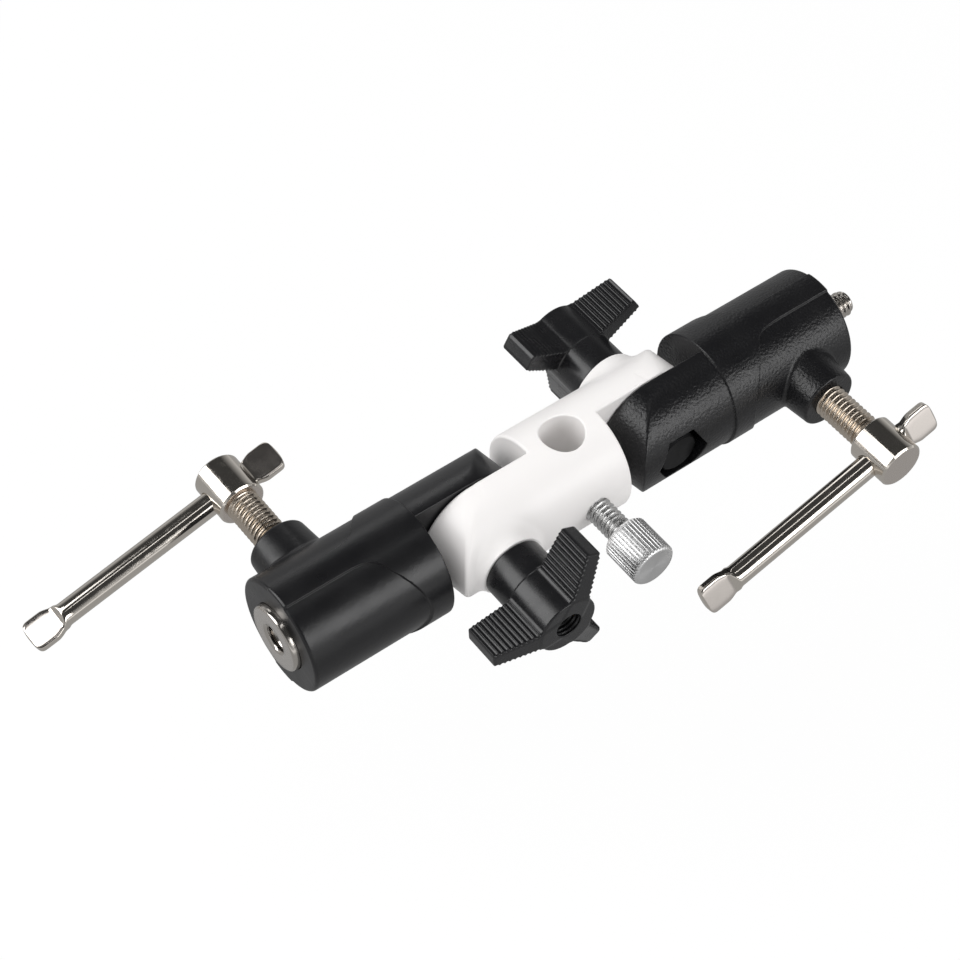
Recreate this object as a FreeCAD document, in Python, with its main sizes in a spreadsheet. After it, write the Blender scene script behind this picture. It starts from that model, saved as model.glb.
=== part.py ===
"""Umbrella swivel bracket: a pale centre block with a swivelling receiver at each end.

Millimetres. The origin is where the umbrella hole's axis crosses the bracket's long axis.
+X runs along the bracket towards the stud end, +Z along the umbrella hole, and the umbrella
screw points towards -Y. The bracket looks the same after half a turn about Z, so each end
is drawn at +X and the left one is turned by 180 degrees.
"""
import FreeCAD, Part
import math
import os
import re

import Sketcher

doc = FreeCAD.newDocument("umbrella_swivel_bracket")

DIMENSIONS = [
    # alias, value, what it measures
    ("core_radius", 13.75, "centre block and receiver ears"),
    ("collar_radius", 14.25, "receiver collars and the strips between the side panels"),
    ("end_x", 75.15, "outer face of a receiver"),
    ("collar_x", 39.6, "inner face of a receiver's collar"),
    ("rim_fillet", 0.8, "rounding of a receiver's outer edge"),
    ("pivot_x", 24.5, "swivel axis"),
    ("ear_round", 13.5, "rounding of the ears about the swivel axis"),
    ("block_round", 13.6, "rounding of the centre block's ears about the swivel axis"),
    ("draft", 9.0, "lean of both ears' round ends, in degrees"),
    ("shoulder_x", 9.7, "centre block's shoulder beside a receiver's ear"),
    ("lap_gap", 0.2, "between the two lap faces"),
    ("panel_angle", 76.7, "half the angle of a recessed side panel"),
    ("panel_arc", 15.5, "radius of a side panel's round inner end"),
    ("panel_arc_x", 61.0, "centre of that round end"),
    ("socket_radius", 8.0, "receiver socket"),
    ("socket_depth", 33.0, "receiver socket"),
    ("boss_x", 62.0, "screw boss and clamping screw"),
    ("boss_root_radius", 7.95, "screw boss where it leaves the barrel"),
    ("boss_root_y", 11.5, "start of the boss's cone inside the barrel wall"),
    ("boss_end_radius", 7.15, "screw boss at its end"),
    ("boss_end_y", 20.5, "end face of the screw boss"),
    ("fit", 0.05, "radial play of a shaft or thread in its hole"),
    ("pocket_flats", 12.0, "hexagonal pocket for the bolt's head, across flats"),
    ("pocket_floor_y", 8.0, "bottom of the bolt head pocket"),
    ("bolt_radius", 3.0, "swivel bolt, M6"),
    ("bolt_flats", 10.0, "swivel bolt's head across flats"),
    ("bolt_head", 4.0, "swivel bolt's head height"),
    ("bolt_end_y", 27.0, "end of the swivel bolt inside the knob"),
    ("seat_radius", 7.8, "boss under the knob on the centre block"),
    ("seat_y", 14.8, "flat seat for the knob on that boss"),
    ("disc_radius", 9.0, "friction disc between the lap faces"),
    ("disc_depth", 0.9, "how deep the friction disc is let into the block"),
    ("disc_proud", 0.13, "how far the friction disc stands out of the block"),
    ("umbrella_radius", 5.1, "umbrella hole"),
    ("umbrella_rim", 0.5, "rounding of the umbrella hole's rims"),
    ("thumb_radius", 3.175, "umbrella screw's thread, 1/4 inch"),
    ("thumb_pad_y", 5.15, "tip of the umbrella screw's pad"),
    ("thumb_pad_thick", 1.2, "umbrella screw's pad"),
    ("thumb_head_radius", 5.5, "umbrella screw's head"),
    ("thumb_head_y", 22.7, "near face of the umbrella screw's head"),
    ("thumb_end_y", 33.3, "outer face of the umbrella screw's head"),
    ("thumb_chamfer", 0.45, "umbrella screw's head"),
    ("screw_radius", 4.0, "clamping screw, M8"),
    ("pad_radius", 3.6, "clamping screw's pad"),
    ("pad_thick", 1.2, "clamping screw's pad"),
    ("pad_y", 8.02, "inner face of the clamping screw's pad"),
    ("face_gap", 0.05, "between faces that turn on each other"),
    ("head_radius", 5.7, "clamping screw's head"),
    ("head_height", 11.0, "clamping screw's head"),
    ("head_y", 33.7, "inner face of the clamping screw's head, screwed in"),
    ("head_chamfer", 0.45, "clamping screw's head"),
    ("left_screw_out", 0.4, "how far the left clamping screw is unscrewed"),
    ("bar_radius", 2.75, "T-bar"),
    ("bar_far", 14.5, "T-bar's short side, from the screw's axis"),
    ("bar_near", 53.5, "T-bar's long side, from the screw's axis"),
    ("bar_shift_left", 1.05, "how far the left T-bar has slid towards its long side"),
    ("bar_shift_right", 0.5, "how far the right T-bar has slid towards its long side"),
    ("bar_blend", 1.5, "slope from the round bar to the flat end"),
    ("paddle_length", 8.5, "flattened end of the T-bar"),
    ("paddle_thick", 2.2, "flattened end of the T-bar"),
    ("paddle_mid", 3.9, "half the flattened end's greatest width"),
    ("paddle_tip", 3.35, "half the flattened end's width at the tip"),
    ("bar_tilt_left", 14.1, "left T-bar's rise towards +X"),
    ("bar_tilt_right", 16.5, "right T-bar's rise towards +X"),
    ("flat_turn_left", 7.0, "turn of the left T-bar's flats about the bar"),
    ("flat_turn_right", 64.5, "turn of the right T-bar's flats about the bar"),
    ("spigot_radius", 7.9375, "spigot, 5/8 inch"),
    ("spigot_inner_x", 42.6, "inner end of a spigot"),
    ("spigot_proud", 1.57, "spigot outside the receiver"),
    ("spigot_chamfer", 0.6, "spigot's ends"),
    ("neck_radius", 6.6, "waist round the spigot for the clamping screw"),
    ("neck_half", 5.5, "half the waist's length"),
    ("neck_slope", 1.3, "sloping side of the waist"),
    ("tap_radius", 3.175, "camera thread, 1/4 inch"),
    ("tap_depth", 12.0, "threaded hole in the left spigot"),
    ("tap_chamfer", 0.35, "threaded hole's mouth"),
    ("stud_end_x", 85.6, "end of the right spigot's stud"),
    ("stud_chamfer", 0.6, "stud's end"),
    ("hub_radius", 7.4, "knob's hub"),
    ("hub_y", 14.9, "knob's base"),
    ("wing_back_y", 22.8, "back of the knob's wings"),
    ("wing_front_y", 34.3, "knob's front face"),
    ("wing_tip_y", 32.0, "front of the knob's wings at their tips"),
    ("wing_radius", 18.0, "tips of the knob's wings"),
    ("wing_root_half", 2.9, "half a wing's width at the hub"),
    ("wing_tip_half", 2.2, "half a wing's width at its tip"),
    ("insert_radius", 5.0, "threaded insert in the knob"),
    ("insert_end_y", 30.0, "outer end of the threaded insert"),
    ("washer_radius", 6.3, "steel washer under the knob"),
    ("washer_thick", 1.0, "steel washer under the knob"),
    ("washer_play", 0.1, "washer's hole and rim"),
]

sheet = doc.addObject("Spreadsheet::Sheet", "dims")
for row, (alias, size, meaning) in enumerate(DIMENSIONS, start=1):
    sheet.set(f"A{row}", alias)
    sheet.set(f"B{row}", str(size))
    sheet.set(f"C{row}", meaning)
    sheet.setAlias(f"B{row}", alias)
doc.recompute()

ALIASES = {alias for alias, size, meaning in DIMENSIONS}
WIDE = 60.0    # half the size of the blocks that cut a shape in two
SIDES = {"left": -1, "right": 1}


def linked(formula):
    """Give each alias in a formula its sheet's name."""
    return re.sub(r"[a-z_]+", lambda word: ("dims." if word[0] in ALIASES else "") + word[0], formula)


def number(formula):
    """Work a formula out from the sheet."""
    return float(sheet.evalExpression(linked(formula)))


def bind(item, prop, formula):
    """Tie a property to a formula over the sheet."""
    item.setExpression(prop, linked(formula))


TURN_TO = {
    "X": FreeCAD.Rotation(FreeCAD.Vector(0, 1, 0), 90),
    "Y": FreeCAD.Rotation(FreeCAD.Vector(1, 0, 0), -90),
    "Z": FreeCAD.Rotation(),
}


def put(item, at, rotation):
    """Place a shape with its corner or base centre tied to three formulas."""
    item.Placement = FreeCAD.Placement(FreeCAD.Vector(), rotation)
    for letter, formula in zip("xyz", at):
        bind(item, f"Placement.Base.{letter}", formula)
    return item


def cylinder(name, axis, radius, start, end, at=("0", "0", "0")):
    """A cylinder along an axis from start to end, through a point."""
    item = doc.addObject("Part::Cylinder", name)
    bind(item, "Radius", radius)
    bind(item, "Height", f"({end}) - ({start})")
    base = list(at)
    base["XYZ".index(axis)] = start
    return put(item, base, TURN_TO[axis])


def box(name, low, high):
    """A box between two corners."""
    item = doc.addObject("Part::Box", name)
    for prop, first, last in zip(("Length", "Width", "Height"), low, high):
        bind(item, prop, f"({last}) - ({first})")
    return put(item, low, FreeCAD.Rotation())


def hexagon(name, flats, height):
    """A hexagonal prism along local Z, two of its corners on local X."""
    item = doc.addObject("Part::Prism", name)
    item.Polygon = 6
    bind(item, "Circumradius", f"{flats} / 2 / cos(30)")
    bind(item, "Height", height)
    return item


def cut(name, base, tool):
    item = doc.addObject("Part::Cut", name)
    item.Base = base
    item.Tool = tool
    return item


def common(name, base, tool):
    item = doc.addObject("Part::Common", name)
    item.Base = base
    item.Tool = tool
    return item


def fuse(name, *pieces):
    item = doc.addObject("Part::MultiFuse", name)
    item.Shapes = list(pieces)
    return item


def fillet(name, base, radius, wanted):
    """Round the edges that a test picks out of a shape."""
    doc.recompute()
    size = number(radius)
    item = doc.addObject("Part::Fillet", name)
    item.Base = base
    item.Edges = [(index, size, size) for index, edge in enumerate(base.Shape.Edges, 1) if wanted(edge)]
    return item


def origin_plane(body, role):
    """One of a body's own origin planes."""
    return next(feature for feature in body.Origin.OriginFeatures if feature.Role == role)


def outline(body, name, role, corners):
    """A closed sketch of straight lines, each corner tied to two formulas."""
    sketch = body.newObject("Sketcher::SketchObject", name)
    sketch.AttachmentSupport = (origin_plane(body, role), [""])
    sketch.MapMode = "FlatFace"
    points = [FreeCAD.Vector(number(across), number(up), 0) for across, up in corners]
    count = len(points)
    for index in range(count):
        sketch.addGeometry(Part.LineSegment(points[index], points[(index + 1) % count]), False)
    for index in range(count):
        sketch.addConstraint(Sketcher.Constraint("Coincident", index, 2, (index + 1) % count, 1))
    for index, (across, up) in enumerate(corners):
        ways = (("DistanceX", across, points[index].x), ("DistanceY", up, points[index].y))
        for kind, formula, start in ways:
            constraint = sketch.addConstraint(Sketcher.Constraint(kind, -1, 1, index, 1, start))
            sketch.setExpression(f"Constraints[{constraint}]", linked(formula))
    return sketch


def new_body(name):
    body = doc.addObject("PartDesign::Body", name)
    body.Label = name
    return body


def turned(name, corners):
    """A body turned on a lathe: corners are (along the axis, radius), the axis is local X."""
    body = new_body(name)
    feature = body.newObject("PartDesign::Revolution", name + "_turning")
    feature.Profile = outline(body, name + "_profile", "XY_Plane", corners)
    feature.ReferenceAxis = (feature.Profile[0], ["H_Axis"])
    feature.Angle = 360
    body.Tip = feature
    return body


def ring(inner, outer, start, end):
    """The corners of a tube's or washer's profile."""
    return [(start, inner), (end, inner), (end, outer), (start, outer)]


def cross_hole(body, radius, along):
    """Drill right through a turned body along local Z."""
    sketch = body.newObject("Sketcher::SketchObject", body.Name + "_drill")
    sketch.AttachmentSupport = (origin_plane(body, "XY_Plane"), [""])
    sketch.MapMode = "FlatFace"
    centre = FreeCAD.Vector(number(along), 0, 0)
    sketch.addGeometry(Part.Circle(centre, FreeCAD.Vector(0, 0, 1), number(radius)), False)
    for kind, place, formula, start in (
        ("DistanceX", (-1, 1, 0, 3), along, centre.x),
        ("DistanceY", (-1, 1, 0, 3), "0", 0.0),
        ("Radius", (0,), radius, number(radius)),
    ):
        constraint = sketch.addConstraint(Sketcher.Constraint(kind, *place, start))
        sketch.setExpression(f"Constraints[{constraint}]", linked(formula))
    doc.recompute()
    before = body.Shape.Volume
    hole = body.newObject("PartDesign::Pocket", body.Name + "_hole")
    hole.Profile = sketch
    hole.Type = "ThroughAll"
    hole.Midplane = True
    body.Tip = hole
    doc.recompute()
    if body.Shape.Volume >= before:
        raise RuntimeError(body.Name + ": the cross hole cuts nothing")


ABOUT_X = FreeCAD.Vector(1, 0, 0)
ABOUT_Y = FreeCAD.Vector(0, 1, 0)
ABOUT_Z = FreeCAD.Vector(0, 0, 1)


def aim(body, side, x, turn):
    """Stand a turned body at a distance x along one end, its local +X turned about Z."""
    sign = SIDES[side]
    put(body, (f"{sign} * ({x})", "0", "0"), FreeCAD.Rotation(ABOUT_Z, sign * turn))
    return body


def half_turn(item, side):
    """Turn an end that was drawn at +X round to its own side."""
    degrees = 0 if side == "right" else 180
    item.Placement = FreeCAD.Placement(FreeCAD.Vector(), FreeCAD.Rotation(ABOUT_Z, degrees))


def rounded_end(name, radius, keep):
    """A block rounded about the swivel axis and kept on one side of it, leaning with the casting's draft."""
    disc = cylinder(name + "_disc", "Y", radius, f"-{WIDE}", f"{WIDE}")
    low, high = (f"-{WIDE}", "0") if keep == "inner" else ("0", f"{WIDE}")
    rest = box(name + "_rest", (low, f"-{WIDE}", f"-{WIDE}"), (high, f"{WIDE}", f"{WIDE}"))
    return put(fuse(name, disc, rest), ("pivot_x", "0", "0"), FreeCAD.Rotation(ABOUT_Z, number("draft")))


def side_panel(name, middle):
    """The shallow recess in one side of a receiver, its middle turned about X from +Z."""
    sector = doc.addObject("Part::Cylinder", name + "_sector")
    bind(sector, "Radius", "collar_radius + 2")
    bind(sector, "Height", "end_x")
    bind(sector, "Angle", "2 * panel_angle")
    spin = FreeCAD.Rotation(ABOUT_X, middle - number("panel_angle"))
    put(sector, ("panel_arc_x - panel_arc - 2", "0", "0"), spin * TURN_TO["X"])
    core = cylinder(name + "_core", "X", "core_radius", "0", "2 * end_x")
    shell = cut(name + "_shell", sector, core)
    arc = cylinder(name + "_arc", "Y", "panel_arc", f"-{WIDE}", f"{WIDE}", ("panel_arc_x", "0", "0"))
    mouth = box(
        name + "_mouth",
        ("panel_arc_x", f"-{WIDE}", "-panel_arc - 2"),
        ("end_x + 5", f"{WIDE}", "panel_arc + 2"),
    )
    return common(name, shell, fuse(name + "_shape", arc, mouth))


def outer_rim(edge):
    """Tell a receiver's outer rim from its drum's other edges."""
    return edge.CenterOfMass.x > number("end_x") - 0.1 and edge.Length > number("collar_radius")


def receiver(side):
    """A socket for a spigot, with a half-lap ear and a screw boss on -Y, then turned to its side."""
    name = "receiver_" + side
    drum = cylinder(name + "_drum", "X", "collar_radius", "collar_x", "end_x")
    barrel = fillet(name + "_barrel", drum, "rim_fillet", outer_rim)
    rod = cylinder(name + "_rod", "X", "core_radius", "pivot_x - ear_round - 1", "collar_x + 1")
    lap = box(name + "_lap", ("0", f"-{WIDE}", f"-{WIDE}"), (f"{WIDE}", "-lap_gap / 2", f"{WIDE}"))
    end = rounded_end(name + "_end", "ear_round", "outer")
    ear = common(name + "_ear", common(name + "_half", rod, lap), end)
    boss = doc.addObject("Part::Cone", name + "_boss")
    bind(boss, "Radius1", "boss_root_radius")
    bind(boss, "Radius2", "boss_end_radius")
    bind(boss, "Height", "boss_end_y - boss_root_y")
    put(boss, ("boss_x", "-boss_root_y", "0"), FreeCAD.Rotation(ABOUT_X, 90))
    panels = fuse(name + "_panels", side_panel(name + "_far", 90), side_panel(name + "_near", 270))
    blank = fuse(name + "_blank", cut(name + "_body", fuse(name + "_stock", barrel, ear), panels), boss)
    pocket = hexagon(name + "_pocket", "pocket_flats", "core_radius")
    openings = fuse(
        name + "_openings",
        cylinder(name + "_socket", "X", "socket_radius", "end_x - socket_depth", "end_x + 5"),
        cylinder(name + "_screw", "Y", "screw_radius + fit", "-boss_end_y - 5", "0", ("boss_x", "0", "0")),
        cylinder(name + "_bolt", "Y", "bolt_radius + fit", "-core_radius - 5", "5", ("pivot_x", "0", "0")),
        put(pocket, ("pivot_x", "-pocket_floor_y", "0"), FreeCAD.Rotation(ABOUT_X, 90)),
    )
    item = cut(name, blank, openings)
    item.Label = name
    half_turn(item, side)
    return item


DISC_FLOOR = "(lap_gap / 2 + disc_depth)"


def block_half(side):
    """One end of the centre block: an ear on +Y with a knob's boss outside and a disc recess inside."""
    name = "block_" + side
    bar = cylinder(name + "_bar", "X", "core_radius", "0", "pivot_x + ear_round + 1")
    at_pivot = ("pivot_x", "0", "0")
    seat = cylinder(name + "_seat", "Y", "seat_radius", "core_radius / 2", "seat_y", at_pivot)
    end = rounded_end(name + "_end", "block_round", "inner")
    stock = fuse(name + "_stock", common(name + "_ear", bar, end), seat)
    openings = fuse(
        name + "_openings",
        box(name + "_lap", ("shoulder_x", f"-{WIDE}", f"-{WIDE}"), (f"2 * {WIDE}", "lap_gap / 2", f"{WIDE}")),
        cylinder(name + "_recess", "Y", "disc_radius + fit", "-core_radius", DISC_FLOOR, at_pivot),
        cylinder(name + "_hole", "Y", "bolt_radius + fit", "-core_radius", "core_radius + 5", at_pivot),
    )
    half = cut(name, stock, openings)
    half_turn(half, side)
    return half


def centre_block():
    """The pale block with its two ears, the umbrella hole and the umbrella screw's hole."""
    stock = fuse("block_stock", block_half("left"), block_half("right"))
    openings = fuse(
        "block_openings",
        cylinder("block_umbrella", "Z", "umbrella_radius", f"-{WIDE}", f"{WIDE}"),
        cylinder("block_thumb", "Y", "thumb_radius + fit", f"-{WIDE}", "0"),
    )
    item = cut("center_block", stock, openings)
    item.Label = "center_block"
    return item


def spigot(side):
    """A 5/8 inch spigot with a waist for the clamping screw: tapped at the left, a stud at the right."""
    face = "(end_x + spigot_proud)"
    corners = [
        ("spigot_inner_x", "0"),
        ("spigot_inner_x", "spigot_radius - spigot_chamfer"),
        ("spigot_inner_x + spigot_chamfer", "spigot_radius"),
        ("boss_x - neck_half - neck_slope", "spigot_radius"),
        ("boss_x - neck_half", "neck_radius"),
        ("boss_x + neck_half", "neck_radius"),
        ("boss_x + neck_half + neck_slope", "spigot_radius"),
        (f"{face} - spigot_chamfer", "spigot_radius"),
        (face, "spigot_radius - spigot_chamfer"),
    ]
    if side == "left":
        corners += [
            (face, "tap_radius + tap_chamfer"),
            (f"{face} - tap_chamfer", "tap_radius"),
            (f"{face} - tap_depth", "tap_radius"),
            (f"{face} - tap_depth - tap_radius / 2", "0"),
        ]
    else:
        corners += [
            (face, "tap_radius"),
            ("stud_end_x - stud_chamfer", "tap_radius"),
            ("stud_end_x", "tap_radius - stud_chamfer"),
            ("stud_end_x", "0"),
        ]
    body = turned("spigot_" + side, corners)
    half_turn(body, side)
    return body


def headed_screw(name, shank, start, head, head_start, head_end, chamfer):
    """A turned screw with a chamfered cylindrical head."""
    return turned(name, [
        (start, "0"),
        (start, shank),
        (head_start, shank),
        (head_start, f"{head} - {chamfer}"),
        (f"{head_start} + {chamfer}", head),
        (f"{head_end} - {chamfer}", head),
        (head_end, f"{head} - {chamfer}"),
        (head_end, "0"),
    ])


def slid(side):
    """How far an end's clamping screw is unscrewed."""
    return "left_screw_out" if side == "left" else "0"


def clamping_screw(side):
    """A screw that clamps the spigot, with a cross hole through its head for the T-bar."""
    sign = SIDES[side]
    body = headed_screw("t_screw_" + side, "screw_radius", "pad_y + pad_thick + face_gap", "head_radius",
                        "head_y", "(head_y + head_height)", "head_chamfer")
    cross_hole(body, "bar_radius + fit", "head_y + head_height / 2")
    tilt = number("bar_tilt_" + side)
    spin = FreeCAD.Rotation(ABOUT_Z, -90 * sign) * FreeCAD.Rotation(ABOUT_X, sign * (tilt - 90))
    return put(body, (f"{sign} * boss_x", f"{-sign} * {slid(side)}", "0"), spin)


def thrust_pad(side):
    """The soft metal pad between a clamping screw's tip and the spigot."""
    sign = SIDES[side]
    body = turned("thrust_pad_" + side, [
        ("pad_y", "0"), ("pad_y", "pad_radius"),
        ("pad_y + pad_thick", "pad_radius"), ("pad_y + pad_thick", "0"),
    ])
    spin = FreeCAD.Rotation(ABOUT_Z, -90 * sign)
    return put(body, (f"{sign} * boss_x", f"{-sign} * {slid(side)}", "0"), spin)


def paddle(body, name, root, direction):
    """A flattened end of the T-bar, wider than the bar so that it can't pull through the head."""
    reach = [("0", "bar_radius * 0.9"), ("bar_blend * 0.65", "bar_radius * 0.9"),
             ("bar_blend", "(bar_radius + paddle_mid) / 2"),
             ("paddle_length * 0.45", "paddle_mid"), ("paddle_length * 0.8", "paddle_mid - 0.15"),
             ("paddle_length", "paddle_tip")]
    side_one = [(f"{root} + {direction} * ({along})", across) for along, across in reach]
    side_two = [(along, f"-({across})") for along, across in reversed(side_one)]
    pad = body.newObject("PartDesign::Pad", name)
    pad.Profile = outline(body, name + "_outline", "XY_Plane", side_one + side_two)
    bind(pad, "Length", "paddle_thick")
    pad.Midplane = True
    body.Tip = pad
    doc.recompute()


def t_bar(side):
    """The sliding bar: a round rod whose two ends are pressed flat."""
    sign = SIDES[side]
    far = f"(bar_far - bar_shift_{side} - paddle_length)"
    near = f"(paddle_length - bar_near - bar_shift_{side})"
    body = turned("t_bar_" + side, [
        (f"{near} - bar_blend", "0"),
        (f"{near} - bar_blend", "paddle_thick / 2"),
        (near, "bar_radius"),
        (far, "bar_radius"),
        (f"{far} + bar_blend", "paddle_thick / 2"),
        (f"{far} + bar_blend", "0"),
    ])
    paddle(body, body.Name + "_far", far, 1)
    paddle(body, body.Name + "_near", near, -1)
    tilt = FreeCAD.Rotation(ABOUT_Y, -number("bar_tilt_" + side))
    spin = tilt * FreeCAD.Rotation(ABOUT_X, number("flat_turn_" + side))
    away = f"{-sign} * (head_y + head_height / 2 + {slid(side)})"
    return put(body, (f"{sign} * boss_x", away, "0"), spin)


def swivel_bolt(side):
    """The M6 hexagon bolt that each receiver swivels on: its head sits in the receiver's ear."""
    sign = SIDES[side]
    name = "pivot_bolt_" + side
    head = hexagon(name + "_head", "bolt_flats", "bolt_head")
    crown = doc.addObject("Part::Cone", name + "_crown")
    bind(crown, "Radius1", "bolt_flats / 2 - 0.2")
    bind(crown, "Radius2", "bolt_flats / 2 - 0.2 + 2 * bolt_head")
    bind(crown, "Height", "bolt_head")
    shank = doc.addObject("Part::Cylinder", name + "_shank")
    bind(shank, "Radius", "bolt_radius")
    bind(shank, "Height", "pocket_floor_y + bolt_head + bolt_end_y")
    item = fuse(name, common(name + "_hexagon", head, crown), shank)
    item.Label = name
    lay = FreeCAD.Rotation(ABOUT_X, -90 * sign)
    return put(item, (f"{sign} * pivot_x", f"{-sign} * (pocket_floor_y + bolt_head)", "0"), lay)


def friction_disc(side):
    """The thin disc that the lap faces rub on, let into the centre block."""
    body = turned("friction_washer_" + side, ring(
        "bolt_radius + washer_play * 3", "disc_radius", "lap_gap / 2 - disc_proud", DISC_FLOOR))
    return aim(body, side, "pivot_x", 90)


WASHER_FOOT = "(seat_y + face_gap)"
HUB_FLOOR = "(seat_y + 2 * face_gap + washer_thick)"


def knob_washer(side):
    """The steel washer between a knob and the centre block."""
    body = turned("knob_washer_" + side, ring(
        "bolt_radius + washer_play", "washer_radius", WASHER_FOOT, f"{WASHER_FOOT} + washer_thick"))
    return aim(body, side, "pivot_x", 90)


def knob_insert(side):
    """The threaded metal insert moulded into a knob."""
    body = turned("knob_insert_" + side, ring(
        "bolt_radius + fit", "insert_radius", HUB_FLOOR, "insert_end_y"))
    return aim(body, side, "pivot_x", 90)


def knob(side):
    """A moulded knob: a round hub with three wings that slope back to their tips."""
    sign = SIDES[side]
    body = turned("knob_" + side, [
        ("hub_y", "washer_radius + washer_play"),
        ("hub_y", "hub_radius"),
        ("wing_front_y", "hub_radius"),
        ("wing_front_y", "bolt_radius + fit"),
        ("insert_end_y", "bolt_radius + fit"),
        ("insert_end_y", "insert_radius"),
        (HUB_FLOOR, "insert_radius"),
        (HUB_FLOOR, "washer_radius + washer_play"),
    ])
    wing = body.newObject("PartDesign::Pad", body.Name + "_wing")
    wing.Profile = outline(body, body.Name + "_wing_outline", "YZ_Plane", [
        ("-wing_root_half", "hub_radius - 1"),
        ("wing_root_half", "hub_radius - 1"),
        ("wing_tip_half", "wing_radius"),
        ("-wing_tip_half", "wing_radius"),
    ])
    bind(wing.Profile[0], "AttachmentOffset.Base.z", "wing_back_y")
    bind(wing, "Length", "wing_front_y - wing_back_y")
    body.Tip = wing
    doc.recompute()
    wings = body.newObject("PartDesign::PolarPattern", body.Name + "_wings")
    wings.Originals = [wing]
    wings.Axis = (origin_plane(body, "X_Axis"), [""])
    wings.Angle = 360
    wings.Occurrences = 3
    body.Tip = wings
    doc.recompute()
    before = body.Shape.Volume
    slope = body.newObject("PartDesign::Groove", body.Name + "_slope")
    slope.Profile = outline(body, body.Name + "_slope_outline", "XY_Plane", [
        ("wing_front_y", "hub_radius"),
        ("wing_tip_y", "wing_radius"),
        ("wing_tip_y", "wing_radius + 2"),
        ("wing_front_y + 1", "wing_radius + 2"),
        ("wing_front_y + 1", "hub_radius"),
    ])
    slope.ReferenceAxis = (slope.Profile[0], ["H_Axis"])
    slope.Angle = 360
    body.Tip = slope
    doc.recompute()
    if body.Shape.Volume >= before:
        raise RuntimeError(body.Name + ": the slope cuts nothing")
    turn = KNOB_TURN[side]
    spin = FreeCAD.Rotation(ABOUT_Z, 90 * sign) * FreeCAD.Rotation(ABOUT_X, turn)
    return put(body, (f"{sign} * pivot_x", "0", "0"), spin)


KNOB_TURN = {"left": -27, "right": 60}    # degrees about the bolt, from one wing straight up


def umbrella_screw():
    """The thumbscrew that holds an umbrella's shaft."""
    body = headed_screw("umbrella_screw", "thumb_radius", "thumb_pad_y + thumb_pad_thick + face_gap",
                        "thumb_head_radius", "thumb_head_y", "thumb_end_y", "thumb_chamfer")
    return put(body, ("0", "0", "0"), FreeCAD.Rotation(ABOUT_Z, -90))


def umbrella_pad():
    """The soft pad on the umbrella screw's tip."""
    radius = "thumb_radius - 0.15"
    body = turned("umbrella_screw_tip", [
        ("thumb_pad_y", "0"), ("thumb_pad_y", radius),
        ("thumb_pad_y + thumb_pad_thick", radius), ("thumb_pad_y + thumb_pad_thick", "0"),
    ])
    return put(body, ("0", "0", "0"), FreeCAD.Rotation(ABOUT_Z, -90))


PER_SIDE = (receiver, spigot, clamping_screw, thrust_pad, t_bar, swivel_bolt, friction_disc,
            knob_washer, knob_insert, knob)

sub_parts = [centre_block(), umbrella_screw(), umbrella_pad()]
for side_name in SIDES:
    sub_parts += [make(side_name) for make in PER_SIDE]
doc.recompute()

faults = [item.Label for item in doc.Objects if {"Invalid", "Error"} & set(item.State)]
for sub_part in sub_parts:
    if sub_part.Shape.isNull() or not sub_part.Shape.isValid() or len(sub_part.Shape.Solids) != 1:
        faults.append(sub_part.Label)
if faults:
    raise RuntimeError("failed: " + ", ".join(faults))

os.makedirs("parts", exist_ok=True)
for sub_part in sub_parts:
    sub_part.Shape.exportStep(f"parts/{sub_part.Label}.step")
    print(f"{sub_part.Label:24s} {sub_part.Shape.Volume:10.2f} mm3")
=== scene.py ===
"""Looks for the umbrella swivel bracket: cast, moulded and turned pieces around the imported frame.

Cast and moulded pieces are signed distance formulas, in millimetres, meshed on a fine grid and
then pulled exactly onto the formula. Turned pieces are grids of points round an axis. Each end
of the bracket is drawn at +X, and the left one is that drawing after half a turn about Z.
"""
import math

import bpy
import numpy as np
import openvdb
from mathutils import Matrix, Vector


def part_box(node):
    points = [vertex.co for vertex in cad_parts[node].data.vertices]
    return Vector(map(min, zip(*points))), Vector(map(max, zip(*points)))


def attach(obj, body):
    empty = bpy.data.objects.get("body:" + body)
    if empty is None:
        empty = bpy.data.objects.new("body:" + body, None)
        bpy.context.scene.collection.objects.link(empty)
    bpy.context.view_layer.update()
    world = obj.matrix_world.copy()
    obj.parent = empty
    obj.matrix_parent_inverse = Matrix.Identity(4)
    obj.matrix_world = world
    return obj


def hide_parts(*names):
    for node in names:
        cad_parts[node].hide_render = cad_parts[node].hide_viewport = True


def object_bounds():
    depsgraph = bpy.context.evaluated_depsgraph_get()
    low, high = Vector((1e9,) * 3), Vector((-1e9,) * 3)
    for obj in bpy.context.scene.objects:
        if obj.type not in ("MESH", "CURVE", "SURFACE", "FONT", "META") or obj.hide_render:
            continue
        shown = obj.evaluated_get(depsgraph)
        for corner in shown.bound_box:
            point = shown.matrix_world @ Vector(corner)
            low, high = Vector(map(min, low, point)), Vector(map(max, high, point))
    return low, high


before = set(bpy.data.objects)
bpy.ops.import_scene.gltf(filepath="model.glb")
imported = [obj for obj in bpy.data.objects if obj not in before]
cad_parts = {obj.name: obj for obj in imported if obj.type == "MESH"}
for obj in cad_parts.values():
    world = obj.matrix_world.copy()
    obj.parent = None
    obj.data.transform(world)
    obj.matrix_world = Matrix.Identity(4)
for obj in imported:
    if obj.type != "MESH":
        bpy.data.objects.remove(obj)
cad_bounds = [list(corner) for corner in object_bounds()]

MM = 0.001
SIDES = {"left": -1, "right": 1}


# ---------------------------------------------------------------- sizes read from the frame, in mm
def low(node):
    return np.array(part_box(node)[0]) / MM


def high(node):
    return np.array(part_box(node)[1]) / MM


def middle(node):
    return (low(node) + high(node)) / 2


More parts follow.
